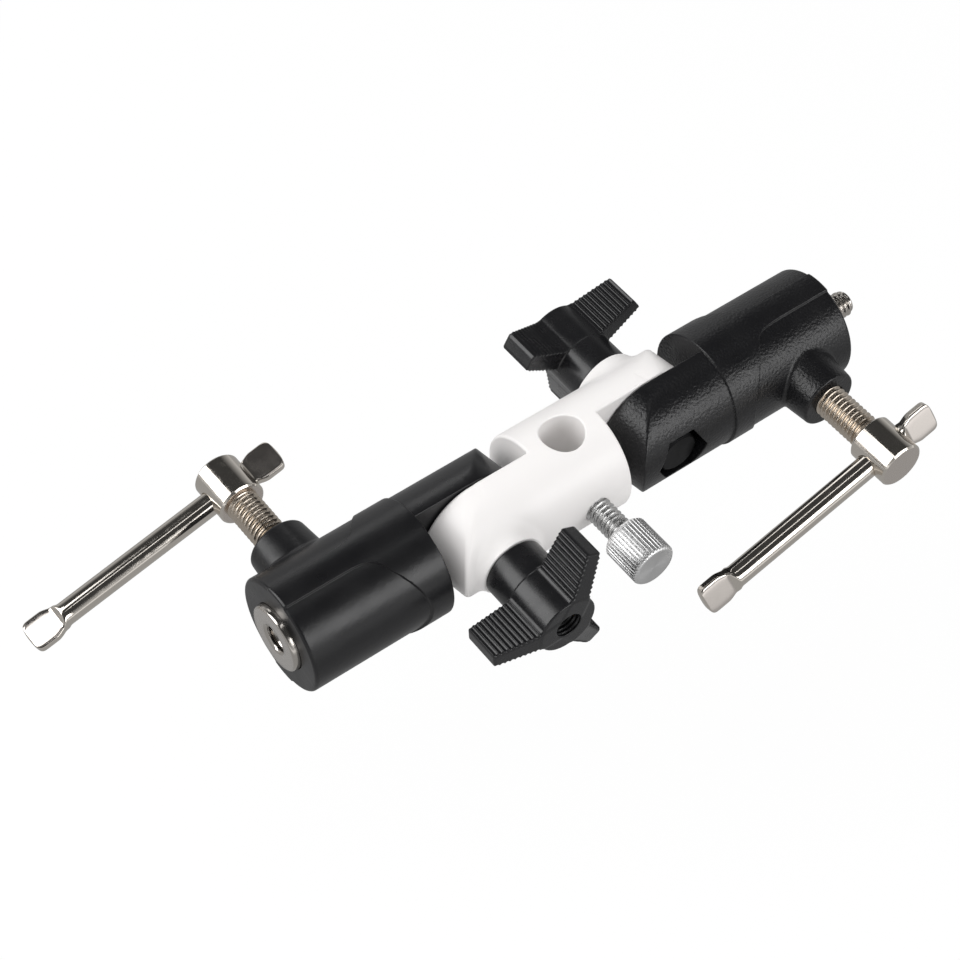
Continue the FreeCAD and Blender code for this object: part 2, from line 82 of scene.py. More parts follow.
COLLAR_R = high("receiver_right")[2]
END_X = high("receiver_right")[0]
CORE_R = high("center_block")[2]
PIVOT_X = middle("pivot_bolt_right")[0]
BLOCK_END_X = high("center_block")[0]
EAR_TIP_X = low("receiver_right")[0]
BOSS_X = middle("t_screw_right")[0]
BOSS_END_Y = -low("receiver_right")[1]
SPIGOT_R = high("spigot_right")[2]
SPIGOT_FACE_X = -low("spigot_left")[0]
SPIGOT_INNER_X = low("spigot_right")[0]
STUD_END_X = high("spigot_right")[0]
SCREW_HEAD_R = (high("t_screw_right")[0] - low("t_screw_right")[0]) / 2
SCREW_TIP_Y = -high("t_screw_right")[1]
SCREW_END_Y = -low("t_screw_right")[1]
LEFT_SCREW_OUT = high("t_screw_left")[1] - SCREW_END_Y
THUMB_HEAD_R = high("umbrella_screw")[0]
THUMB_TIP_Y = -high("umbrella_screw")[1]
THUMB_END_Y = -low("umbrella_screw")[1]
HUB_Y = low("knob_right")[1]
KNOB_FRONT_Y = high("knob_right")[1]
BOLT_END_Y = high("pivot_bolt_right")[1]

# sizes that the frame's boxes don't show: of both ends and the block,
DRAFT = math.radians(9.0)
EAR_REACH = 13.5
BLOCK_REACH = 13.6
END_OPENING = 0.5
PLAY = 0.05
COLLAR_X = 39.6
SHOULDER_X = 9.7
LAP_Y = 0.1
# the receivers,
SOCKET_R = 8.0
SOCKET_FLOOR_X = SPIGOT_INNER_X - 0.45
PANEL_ANGLE = math.radians(76.7)
PANEL_ARC_R = 15.5
PANEL_ARC_X = 61.0
PANEL_CORNER_R = 2.0
PANEL_STEP = 0.5
BOSS_R = 7.95
BOSS_FOOT_Y = 11.5
BOSS_START_Y = 10.0
BOSS_TAPER = 0.0889
POCKET_FLOOR_Y = 8.0
POCKET_HALF = 6.0
# the block's seats, recesses and umbrella hole,
SEAT_R = 7.8
SEAT_Y = HUB_Y - 0.1
SEAT_FILLET = 2.2
FRICTION_RECESS_R = 9.05
FRICTION_RECESS_Y = 1.0
UMBRELLA_R = 5.1
# the clamping screws,
SCREW_R = 4.0
SCREW_HEAD_Y = 33.7
SCREW_PITCH = 1.25
SCREW_CUT = 0.65
HEAD_CHAMFER = 0.45
# the umbrella screw and the spigots,
QUARTER_INCH_R = 3.175
QUARTER_INCH_PITCH = 1.27
THUMB_CUT = 0.62
THUMB_HEAD_Y = 22.7
KNURLS = 36
KNURL_CUT = 0.36
STUD_CUT = 0.5
WAIST_R = 6.6
WAIST_HALF = 5.5
WAIST_SLOPE = 1.3
# the swivel bolts,
BOLT_R = 3.0
BOLT_PITCH = 1.0
BOLT_CUT = 0.4
BOLT_THREAD = 14.0
BOLT_HEAD = 4.0
BOLT_HEAD_R = 5.0
BOLT_CORNER_R = 5.8
# the knobs,
HUB_R = 7.4
PARTING_STEP = 0.1
INSERT_R = 5.0
INSERT_END_Y = 30.0
WASHER_R = 6.4
WASHER_THICK = 1.05
RIBS = 9
RIB_DEPTH = 0.5
WING_HALF = 2.95
WING_TAPER = 0.6
WING_BACK_Y = 22.8
WING_TIP_Y = 32.0
WING_R = 18.0
KNOB_TURN = {"left": math.radians(-27), "right": math.radians(60)}
# and the T-bars
BAR_TILT = {"left": math.radians(14.1), "right": math.radians(16.5)}
FLAT_TURN = {"left": math.radians(7), "right": math.radians(64.5)}
BAR_R = 2.75
BAR_FAR = 14.5
BAR_NEAR = 53.5
BAR_SHIFT = {"left": 1.05, "right": 0.5}
PADDLE = 9.4
PADDLE_WIDE = 3.9
PADDLE_THICK = 1.1

# the radius that stands for a turned profile's own axis
TIP = 0.01


# ---------------------------------------------------------------- distance formulas
def join(a, b, blend):
    """Both shapes, with a fillet of that radius where they meet."""
    near = np.hypot(np.maximum(blend - a, 0), np.maximum(blend - b, 0))
    return np.maximum(blend, np.minimum(a, b)) - near


def meet(a, b, blend):
    """What two shapes share, its edge rounded to that radius."""
    near = np.hypot(np.maximum(blend + a, 0), np.maximum(blend + b, 0))
    return np.minimum(-blend, np.maximum(a, b)) + near


def carve(a, b, blend):
    """The first shape without the second, the edge rounded."""
    return meet(a, -b, blend)


def step(value):
    """Smoothly from 0 to 1 as the value goes from 0 to 1."""
    inside = np.clip(value, 0, 1)
    return inside * inside * (3 - 2 * inside)


def thread_depth(along, angle, pitch):
    """From 0 at a right-handed thread's crest to 1 at its root, with narrow flats on both."""
    phase = np.mod(along / pitch - angle / (2 * math.pi), 1.0)
    return np.clip((1 - np.abs(2 * phase - 1) - 0.14) / 0.72, 0, 1)


def hexagon(along_corners, across):
    """Half a hexagon's width at a point; two of its corners are on the first axis."""
    return np.maximum(np.abs(across), np.abs(across) / 2 + np.abs(along_corners) * math.sqrt(0.75))


def leaning(x, y):
    """Distance along X past the swivel axis, both ears' round ends leaning by the casting's draft."""
    return (x - PIVOT_X) * math.cos(DRAFT) + y * math.sin(DRAFT)


def receiver_field(x, y, z):
    """A receiver at +X: ear on -Y, barrel with two recessed side panels, screw boss on -Y."""
    rho = np.hypot(y, z)
    lean = np.arctan2(np.abs(z), np.abs(y))
    side = (lean - PANEL_ANGLE) * CORE_R
    arc = np.hypot(np.minimum(x - PANEL_ARC_X, 0), z) - PANEL_ARC_R
    panel = meet(side, arc, PANEL_CORNER_R)
    raised = (COLLAR_R - CORE_R) * step(panel / PANEL_STEP + 0.5)
    barrel = meet(rho - CORE_R - raised, x - END_X, 0.8)
    barrel = meet(barrel, COLLAR_X - x, 0.3)
    past = leaning(x, y) + EAR_REACH - CORE_R
    round_end = np.hypot(np.minimum(past, 0), z) - CORE_R - END_OPENING * np.maximum(past, 0)
    ear = meet(rho - CORE_R, round_end, 0.3)
    ear = meet(ear, x - COLLAR_X - 2, 0.1)
    ear = meet(ear, y + LAP_Y, 0.3)
    body = np.minimum(barrel, ear)
    out = -y
    across = np.hypot(x - BOSS_X, z)
    boss = meet(across - (BOSS_R - BOSS_TAPER * (out - BOSS_FOOT_Y)), out - BOSS_END_Y, 0.6)
    boss = np.maximum(boss, BOSS_START_Y - out)
    body = join(body, boss, 0.7)
    body = carve(body, np.maximum(rho - SOCKET_R, SOCKET_FLOOR_X - x), 0.35)
    hole = SCREW_R + PLAY - 0.35 * thread_depth(out, np.arctan2(x - BOSS_X, z), SCREW_PITCH)
    body = carve(body, np.maximum(across - hole, -out), 0.3)
    pocket = hexagon(x - PIVOT_X, z) - POCKET_HALF
    body = carve(body, np.maximum(pocket, POCKET_FLOOR_Y - out), 0.2)
    return carve(body, np.hypot(x - PIVOT_X, z) - BOLT_R - PLAY, 0.1)


def block_field(x, y, z):
    """The centre block, worked out at +X: after half a turn about Z it is the same."""
    turn = np.where(x < 0, -1.0, 1.0)
    x, y = x * turn, y * turn
    rho = np.hypot(y, z)
    from_pivot = np.hypot(x - PIVOT_X, z)
    past = leaning(x, y) + CORE_R - BLOCK_REACH
    round_end = np.hypot(np.maximum(past, 0), z) - CORE_R - END_OPENING * np.maximum(-past, 0)
    body = meet(rho - CORE_R, round_end, 0.8)
    seat = meet(from_pivot - SEAT_R, np.abs(y - SEAT_Y / 2) - SEAT_Y / 2, 0.25)
    body = join(body, seat, SEAT_FILLET)
    lap = meet(SHOULDER_X - x, y - LAP_Y, 0.5)
    body = carve(body, lap, 0.7)
    recess = np.maximum(from_pivot - FRICTION_RECESS_R, y - FRICTION_RECESS_Y)
    body = np.where(x > SHOULDER_X, carve(body, recess, 0.05), body)
    return np.where(x > SHOULDER_X, carve(body, from_pivot - BOLT_R - PLAY, 0.1), body)


def drilled_block_field(x, y, z):
    """The centre block with the umbrella hole along Z and the umbrella screw's hole from -Y."""
    body = carve(block_field(x, y, z), np.hypot(x, y) - UMBRELLA_R, 0.45)
    across = np.hypot(x, z)
    hole = QUARTER_INCH_R + PLAY - 0.3 * thread_depth(-y, np.arctan2(x, z), QUARTER_INCH_PITCH)
    return carve(body, np.maximum(across - hole, y), 0.25)


def knob_field(along, y, z):
    """A knob about its bolt's axis: a hub and three ribbed wings, one of them straight up."""
    rho = np.hypot(y, z)
    angle = np.arctan2(y, z)
    third = 2 * math.pi / 3
    fold = np.mod(angle + third / 2, third) - third / 2
    radial, sideways = rho * np.cos(fold), np.abs(rho * np.sin(fold))
    outward = (radial - HUB_R) / (WING_R - HUB_R)
    pitch = (WING_R - HUB_R - 0.2) / RIBS
    valley = np.sqrt(np.sin(math.pi * (radial - HUB_R) / pitch) ** 2 + 0.01)
    grip = step((radial - HUB_R + 0.3) / 0.4)
    half = WING_HALF - WING_TAPER * outward - RIB_DEPTH * valley * grip
    front = KNOB_FRONT_Y - (KNOB_FRONT_Y - WING_TIP_Y) * np.clip(outward, 0, 2)
    wing = meet((sideways - half) * 0.8, radial - WING_R, 0.75)
    wing = meet(wing, along - front, 0.6)
    wing = meet(wing, WING_BACK_Y - along, 0.3)
    hub_radius = HUB_R - PARTING_STEP * step((along - WING_BACK_Y) / PARTING_STEP + 0.5)
    hub = meet(rho - hub_radius, along - KNOB_FRONT_Y, 0.45)
    hub = meet(hub, HUB_Y - along, 0.25)
    body = join(hub, wing, 0.5)
    hole = BOLT_R + PLAY + 0.25 - 0.25 * thread_depth(along, np.arctan2(z, y), BOLT_PITCH)
    body = carve(body, np.maximum(rho - hole, INSERT_END_Y + PLAY - along), 0.3)
    body = np.maximum(body, -np.maximum(rho - INSERT_R, along - INSERT_END_Y))
    return np.maximum(body, -np.maximum(rho - WASHER_R, along - HUB_Y - WASHER_THICK))


def head_field(x, along, z):
    """A clamping screw's head about the local Y axis, with the T-bar's hole along local X."""
    centre = (SCREW_HEAD_Y + SCREW_END_Y) / 2
    half = (SCREW_END_Y - SCREW_HEAD_Y) / 2
    body = np.abs(along - centre) - half
    wall = np.hypot(x, z) - SCREW_HEAD_R
    bevel = (wall + body + HEAD_CHAMFER) * math.sqrt(0.5)
    body = np.maximum(meet(wall, body, 0.12), bevel)
    return carve(body, np.hypot(along - centre, z) - BAR_R - PLAY, 0.3)


def bolt_head_field(along, y, z):
    """A hexagon head about local X, its outer corners turned away."""
    crown = (np.hypot(y, z) - BOLT_HEAD_R + 0.4 - 1.7 * along) * 0.5
    body = meet(hexagon(y, z) - BOLT_HEAD_R, np.abs(along - BOLT_HEAD / 2) - BOLT_HEAD / 2, 0.15)
    return np.maximum(body, crown)


# ---------------------------------------------------------------- meshes
def gradient(field, points, reach=0.02):
    """The field's slope at each point, by central differences."""
    slope = np.empty_like(points)
    for axis in range(3):
        offset = np.zeros(3)
        offset[axis] = reach
        slope[:, axis] = (field(*(points + offset).T) - field(*(points - offset).T)) / (2 * reach)
    return slope


def make_object(name, points, faces, normals=None):
    """A smooth mesh object from points in millimetres."""
    mesh = bpy.data.meshes.new(name)
    mesh.from_pydata((points * MM).tolist(), [], faces)
    mesh.shade_smooth()
    if normals is not None:
        mesh.normals_split_custom_set_from_vertices(normals.tolist())
    piece = bpy.data.objects.new(name, mesh)
    bpy.context.collection.objects.link(piece)
    return piece


def solid(name, field, lowest, highest, voxel, turn=Matrix.Identity(3), shift=(0, 0, 0)):
    """Mesh the shape where the field is negative, then turn it and shift it into place."""
    margin = 3 * voxel
    lowest = np.array(lowest, float) - margin
    counts = np.ceil((np.array(highest) + margin - lowest) / voxel).astype(int) + 1
    x, y, z = (lowest[axis] + voxel * np.arange(counts[axis]) for axis in range(3))
    values = field(x[:, None, None], y[None, :, None], z[None, None, :]) + np.zeros(counts)
    grid = openvdb.FloatGrid(margin)
    grid.copyFromArray(np.clip(values, -margin, margin).astype(np.float32))
    points, triangles, quads = grid.convertToPolygons(isovalue=0.0, adaptivity=0.0)
    points = points.astype(float) * voxel + lowest
    for _ in range(3):
        slope = gradient(field, points)
        pull = np.clip(field(*points.T), -voxel, voxel) / np.maximum((slope ** 2).sum(axis=1), 0.2)
        points -= slope * pull[:, None]
    normals = gradient(field, points)
    normals /= np.linalg.norm(normals, axis=1, keepdims=True) + 1e-9
    corners = points[quads[0]]
    facing = np.cross(corners[1] - corners[0], corners[2] - corners[0]) @ normals[quads[0][0]]
    order = slice(None, None, 1 if facing > 0 else -1)
    faces = [tuple(face[order]) for face in quads.tolist() + triangles.tolist()]
    rotate = np.array(turn)
    return make_object(name, points @ rotate.T + np.array(shift), faces, normals @ rotate.T)


def lathe(name, corners, turn, shift=(0, 0, 0), pitch=1.0, around=96, grooves=0):
    """Turn a profile about local X. A corner is (along, radius) or (along, radius, cut): cut is how
    deep a right-handed thread, or the knurl's grooves if there are any, goes there."""
    corners = [(*corner, 0.0)[:3] for corner in corners]
    path = []
    for first, last in zip(corners, corners[1:]):
        span = math.hypot(last[0] - first[0], last[1] - first[1])
        fine = pitch / 14 if (first[2] or last[2]) and not grooves else 1.5
        count = max(1, math.ceil(span / fine))
        path += [[a + (b - a) * part / count for a, b in zip(first, last)] for part in range(count)]
    path = np.array(path + [list(corners[-1])])
    angle = np.linspace(0, 2 * math.pi, around, endpoint=False)[None, :]
    along, radius, cut = (path[:, column][:, None] + 0 * angle for column in range(3))
    if grooves:
        pattern = np.clip(1 - np.abs(np.mod(angle * grooves / (2 * math.pi), 1.0) - 0.5) / 0.2, 0, 1)
    else:
        pattern = thread_depth(along, angle, pitch)
    reach = np.maximum(radius - cut * pattern, TIP)
    points = np.stack([along, reach * np.cos(angle), reach * np.sin(angle)], axis=-1).reshape(-1, 3)
    return grid_piece(name, points, len(path), around, turn, shift)


def grid_piece(name, points, rows, around, turn, shift):
    """Join rings of points into a tube and close both ends with a flat fan."""
    points = np.vstack([points, points[:around].mean(axis=0), points[-around:].mean(axis=0)])
    faces = []
    for row in range(rows - 1):
        for step_index in range(around):
            a = row * around + step_index
            b = row * around + (step_index + 1) % around
            faces.append((a, b, b + around, a + around))
    first, last = rows * around, rows * around + 1
    for step_index in range(around):
        following = (step_index + 1) % around
        faces.append((first, following, step_index))
        base = (rows - 1) * around
        faces.append((last, base + step_index, base + following))
    rotate = np.array(turn)
    faces = [tuple(reversed(face)) for face in faces]
    piece = make_object(name, points @ rotate.T + np.array(shift), faces)
    piece.data.set_sharp_from_angle(angle=math.radians(50))
    return piece


def rotation(axis, angle):
    return Matrix.Rotation(angle, 3, axis)


HALF_TURN = {"left": rotation("Z", math.pi), "right": Matrix.Identity(3)}
# these turn local +X outward along a clamping screw, or along a swivel bolt toward its knob
OUT_OF_SCREW = {"left": rotation("Z", math.pi / 2), "right": rotation("Z", -math.pi / 2)}
OUT_OF_KNOB = {"left": OUT_OF_SCREW["right"], "right": OUT_OF_SCREW["left"]}


# ---------------------------------------------------------------- materials
def new_material(name, color, roughness, metallic=0.0):
    made = bpy.data.materials.new(name)
    made.use_nodes = True
    shader = made.node_tree.nodes["Principled BSDF"]
    shader.inputs["Base Color"].default_value = (*color, 1)
    shader.inputs["Roughness"].default_value = roughness
    shader.inputs["Metallic"].default_value = metallic
    return made


def add_node(made, kind, **values):
    """A node with its input sockets or properties set by name."""
    item = made.node_tree.nodes.new(kind)
    for name, value in values.items():
        label = name.title()
        if label in item.inputs:
            item.inputs[label].default_value = value
        else:
            setattr(item, name, value)
    return item


def place(made, centre=(0, 0, 0), stretch=(1, 1, 1)):
    """Object coordinates in millimetres from a centre, stretched along the axes."""
    coordinates = add_node(made, "ShaderNodeTexCoord")
    mapping = add_node(made, "ShaderNodeMapping")
    scale = [factor / MM for factor in stretch]
    mapping.inputs["Scale"].default_value = scale
    mapping.inputs["Location"].default_value = [-value * factor for value, factor in zip(centre, stretch)]
    made.node_tree.links.new(coordinates.outputs["Object"], mapping.inputs["Vector"])
    return mapping.outputs["Vector"]


def noise(made, vector, scale, detail=3.0, rough=0.5):
    item = add_node(made, "ShaderNodeTexNoise", scale=scale, detail=detail, roughness=rough)
    made.node_tree.links.new(vector, item.inputs["Vector"])
    return item.outputs["Fac"]


def map_range(tree, value, ends, results):
    """Turn a value that goes between two ends into one that goes between two results."""
    item = tree.nodes.new("ShaderNodeMapRange")
    for name, setting in zip(("From Min", "From Max", "To Min", "To Max"), (*ends, *results)):
        item.inputs[name].default_value = setting
    tree.links.new(value, item.inputs["Value"])
    return item.outputs["Result"]


def ramp(made, factor, low_end, high_end):
    """Stretch the middle of a 0 to 1 pattern over a range of values."""
    return map_range(made.node_tree, factor, (0.3, 0.7), (low_end, high_end))


def drive(made, socket, value):
    made.node_tree.links.new(value, made.node_tree.nodes["Principled BSDF"].inputs[socket])


def tint(made, factor, first, second):
    """Vary the base colour between two close colours."""
    item = add_node(made, "ShaderNodeMix", data_type="RGBA")
    item.inputs[6].default_value = (*first, 1)
    item.inputs[7].default_value = (*second, 1)
    made.node_tree.links.new(factor, item.inputs[0])
    drive(made, "Base Color", item.outputs[2])


def bump(made, height, depth_mm, after=None):
    """Raise the surface by a pattern; after is an earlier bump's normal."""
    item = add_node(made, "ShaderNodeBump")
    item.inputs["Strength"].default_value = 1.0
    item.inputs["Distance"].default_value = depth_mm * MM
    made.node_tree.links.new(height, item.inputs["Height"])
    if after is not None:
        made.node_tree.links.new(after, item.inputs["Normal"])
    drive(made, "Normal", item.outputs["Normal"])
    return item.outputs["Normal"]


def satin_black_paint(name, grain_mm, depth_mm):
    """Semi-gloss black paint with orange peel of a given size."""
    made = new_material(name, (0.0075, 0.0075, 0.0085), 0.34)
    vector = place(made)
    cloud = noise(made, vector, 0.12, 2.0)
    drive(made, "Roughness", ramp(made, cloud, 0.27, 0.35))
    tint(made, cloud, (0.005, 0.005, 0.006), (0.008, 0.008, 0.009))
    peel = bump(made, noise(made, vector, 1 / grain_mm, 2.0, 0.45), depth_mm)
    bump(made, noise(made, vector, 6.0, 2.0), 0.004, after=peel)
    return made


def white_enamel():
    """Glossy warm-white enamel over a casting, faintly uneven."""
    made = new_material("white_enamel", (0.86, 0.84, 0.83), 0.36)
    vector = place(made)
    cloud = noise(made, vector, 0.06, 1.0)
    tint(made, cloud, (0.83, 0.81, 0.80), (0.86, 0.84, 0.83))
    bump(made, noise(made, vector, 0.35, 1.0), 0.02)
    return made


def black_nylon():
    """Moulded glass-filled nylon: satin, with a fine grain."""
    made = new_material("black_nylon", (0.009, 0.009, 0.010), 0.32)
    vector = place(made)
    cloud = noise(made, vector, 0.3, 3.0)
    drive(made, "Roughness", ramp(made, cloud, 0.22, 0.30))
    tint(made, cloud, (0.008, 0.008, 0.009), (0.011, 0.011, 0.012))
    grain = bump(made, noise(made, vector, 3.5, 2.0), 0.012)
    bump(made, noise(made, vector, 12.0, 2.0), 0.004, after=grain)
    return made


def plated(name, color, low_rough, high_rough, wear=0.0015):
    """Smooth metal with faint unevenness."""
    made = new_material(name, color, low_rough, metallic=1.0)
    vector = place(made)
    cloud = noise(made, vector, 0.35, 4.0)
    drive(made, "Roughness", ramp(made, cloud, low_rough, high_rough))
    tint(made, cloud, tuple(0.94 * part for part in color), color)
    bump(made, noise(made, vector, 0.6, 3.0), wear)
    return made


def faced(name, color, centre, axis, low_rough, high_rough):
    """Metal faced on a lathe: fine rings round an axis."""
    made = new_material(name, color, low_rough, metallic=1.0)
    flat = [0.0 if letter == axis else 1.0 for letter in "XYZ"]
    vector = place(made, centre, flat)
    length = add_node(made, "ShaderNodeVectorMath", operation="LENGTH")
    made.node_tree.links.new(vector, length.inputs[0])
    rings = noise(made, length.outputs["Value"], 5.0, 3.0, 0.6)
    grain = noise(made, place(made), 2.0, 3.0)
    drive(made, "Roughness", ramp(made, grain, low_rough, high_rough))
    tint(made, rings, tuple(0.84 * part for part in color), color)
    bump(made, rings, 0.012)
    return made


def spin_sheen(made, axis):
    """Stretch a turned face's highlight into the bright sectors that its rings give."""
    shader = made.node_tree.nodes["Principled BSDF"]
    shader.inputs["Anisotropic"].default_value = 0.65
    around = made.node_tree.nodes.new("ShaderNodeTangent")
    around.direction_type = "RADIAL"
    around.axis = axis
    made.node_tree.links.new(around.outputs[0], shader.inputs["Tangent"])


def plain_moulded(name, color, roughness):
    """A dull material with a fine grain."""
    made = new_material(name, color, roughness)
    cloud = noise(made, place(made), 4.0, 3.0)
    tint(made, cloud, tuple(0.8 * part for part in color), color)
    drive(made, "Roughness", ramp(made, cloud, roughness - 0.06, roughness + 0.06))
    bump(made, cloud, 0.01)
    return made


paint = {"left": satin_black_paint("black_paint_smooth", 1.3, 0.03),
         "right": satin_black_paint("black_paint_hammered", 0.62, 0.125)}
enamel = white_enamel()
nylon = black_nylon()
nickel = plated("polished_nickel", (0.80, 0.75, 0.685), 0.07, 0.15, 0.0006)
nickel_thread = plated("plated_thread", (0.66, 0.585, 0.50), 0.17, 0.25)
zinc = plated("zinc_plate", (0.55, 0.55, 0.56), 0.25, 0.4)
brass = plated("brass", (0.62, 0.47, 0.24), 0.25, 0.4)
fibre = plain_moulded("fibre", (0.05, 0.045, 0.04), 0.7)
soft_pad = plain_moulded("soft_pad", (0.72, 0.71, 0.67), 0.45)
nickel_satin = plated("satin_nickel", (0.62, 0.585, 0.545), 0.12, 0.20)
thumb_metal = plated("thumbscrew_thread", (0.72, 0.72, 0.715), 0.24, 0.32)
knurl_metal = plated("knurled_aluminium", (0.92, 0.92, 0.92), 0.38, 0.46)
thumb_face = faced("spun_face", (0.86, 0.86, 0.86), (0, 0, 0), "Y", 0.30, 0.40)
spin_sheen(thumb_face, "Y")
spigot_face = faced("spigot_face", (0.78, 0.745, 0.71), (0, 0, 0), "X", 0.24, 0.36)
# near-black nickel for the faces inside the threaded hole: painted shade down the bore
bore_painted_shade = plated("threaded_bore_painted_shade", (0.10, 0.09, 0.085), 0.2, 0.3)
screw_face = {side: faced("screw_face_" + side, (0.80, 0.735, 0.68), (sign * BOSS_X, 0, 0), "Y",
                          0.22, 0.32)
              for side, sign in SIDES.items()}
paddle_flat = plated("paddle_flat", (0.86, 0.80, 0.75), 0.10, 0.17)
black_steel = plated("blackened_steel", (0.014, 0.014, 0.015), 0.34, 0.46)


def finish_piece(piece, body, nodes, slot, *materials):
    """Give a piece its materials and its body, and hide the CAD nodes that it stands for; slot is not
    used.
    """
    for made in materials:
        piece.data.materials.append(made)
    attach(piece, body)
    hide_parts(*nodes)


# ---------------------------------------------------------------- pieces
def add_receiver(side):
    piece = solid("receiver_shell_" + side, receiver_field, (EAR_TIP_X, -BOSS_END_Y, -COLLAR_R),
                  (END_X, COLLAR_R, COLLAR_R), voxel=0.26, turn=HALF_TURN[side])
    finish_piece(piece, side + "_receiver", ["receiver_" + side], "black_paint", paint[side])


def add_block():
    piece = solid("block_casting", drilled_block_field, (-BLOCK_END_X, -SEAT_Y, -CORE_R),
                  (BLOCK_END_X, SEAT_Y, CORE_R), voxel=0.27)
    finish_piece(piece, "block", ["center_block"], "block", enamel)


def add_knob(side):
    turn = OUT_OF_KNOB[side] @ rotation("X", KNOB_TURN[side])
    piece = solid("wing_knob_" + side, knob_field, (HUB_Y, -WING_R, -WING_R),
                  (KNOB_FRONT_Y, WING_R, WING_R + 0.5), voxel=0.2, turn=turn,
                  shift=(SIDES[side] * PIVOT_X, 0, 0))
    finish_piece(piece, side + "_knob", ["knob_" + side], "knob_plastic", nylon)


def screw_place(side, along=0.0):
    """A point that far out along a clamping screw; the left screw is unscrewed a little."""
    out = LEFT_SCREW_OUT if side == "left" else 0.0
    return SIDES[side] * BOSS_X, -SIDES[side] * (along + out), 0


def other_finish(piece, test, index=1):
    """Give another of a piece's materials to the faces that a test picks."""
    for face in piece.data.polygons:
        if test(face):
            face.material_index = index


def faces_along(axis):
    """A test for faces square to an axis."""
    return lambda face: abs(face.normal.dot(axis)) > 0.9


def add_clamping_screw(side):
    """A threaded shank, and a head drilled across for the T-bar."""
    shift = screw_place(side)
    thread = [(SCREW_TIP_Y, TIP), (SCREW_TIP_Y, SCREW_R - 0.8), (SCREW_TIP_Y + 0.8, SCREW_R, SCREW_CUT),
              (SCREW_HEAD_Y - 0.6, SCREW_R, SCREW_CUT), (SCREW_HEAD_Y + 0.3, SCREW_R),
              (SCREW_HEAD_Y + 0.3, TIP)]
    shank = lathe("t_screw_thread_" + side, thread, OUT_OF_SCREW[side], shift, pitch=SCREW_PITCH,
                  around=80)
    finish_piece(shank, side + "_t_screw", ["t_screw_" + side], "nickel", nickel_thread)
    tilt = rotation("Y", -BAR_TILT[side])
    flip = rotation("Z", math.pi) if side == "right" else Matrix.Identity(3)
    head = solid("t_screw_head_" + side, head_field, (-SCREW_HEAD_R, SCREW_HEAD_Y, -SCREW_HEAD_R),
                 (SCREW_HEAD_R, SCREW_END_Y, SCREW_HEAD_R), voxel=0.16, turn=tilt @ flip, shift=shift)
    finish_piece(head, side + "_t_screw", ["t_screw_" + side], "nickel", nickel, screw_face[side])
    other_finish(head, faces_along(Vector((0, 1, 0))))


def bar_section(from_tip):
    """Half width, half thickness and squareness of the T-bar at a distance from its nearer end."""
    blunt = max(0.0, 1 - from_tip / 4.6) ** 9
    narrowing = float(step((from_tip - 4.9) / 4.3))
    wide = PADDLE_WIDE * max(0.0, 1 - blunt) ** 0.45 - (PADDLE_WIDE - BAR_R) * narrowing
    flat = 1 - float(step((from_tip - PADDLE + 2.1) / 2.0))
    edge = 1 - 0.45 * max(0.0, 1 - from_tip / 0.5) ** 2
    thick = (BAR_R * (1 - flat) + PADDLE_THICK * flat) * edge
    return max(wide, 2 * TIP), thick, 2 + 6 * flat


def add_t_bar(side):
    """A round bar whose ends flow into flat paddles, lofted from rings of points."""
    around, steps = 96, 44
    angle = np.linspace(0, 2 * math.pi, around, endpoint=False)
    cosine, sine = np.cos(angle), np.sin(angle)
    length = BAR_NEAR + BAR_FAR
    start = -BAR_NEAR - BAR_SHIFT[side]
    end = [PADDLE * (part / steps) ** 1.8 for part in range(steps + 1)]
    places = end + list(np.linspace(PADDLE + 2, length - PADDLE - 2, 20))
    places += [length - value for value in end[::-1]]
    rings = []
    for along in places:
        wide, thick, power = bar_section(min(along, length - along))
        reach = (np.abs(cosine) ** power + np.abs(sine) ** power) ** (-1 / power)
        across = [wide * reach * cosine, thick * reach * sine]
        rings.append(np.stack([np.full(around, start + along), *across], axis=-1))
    shift = screw_place(side, (SCREW_HEAD_Y + SCREW_END_Y) / 2)
    turn = rotation("Y", -BAR_TILT[side]) @ rotation("X", FLAT_TURN[side])
    piece = grid_piece("t_bar_rod_" + side, np.concatenate(rings), len(rings), around, turn, shift)
    finish_piece(piece, side + "_t_bar", ["t_bar_" + side], "nickel", nickel, paddle_flat)
    lengthwise, upright = turn @ Vector((1, 0, 0)), turn @ Vector((0, 0, 1))
    bar_middle = Vector(shift) * MM + lengthwise * (start + length / 2) * MM
    paddle_start = (length / 2 - PADDLE + 1.9) * MM

    def on_a_paddle(face):
        from_middle = abs((face.center - bar_middle).dot(lengthwise))
        return abs(face.normal.dot(upright)) > 0.97 and from_middle > paddle_start

    other_finish(piece, on_a_paddle)


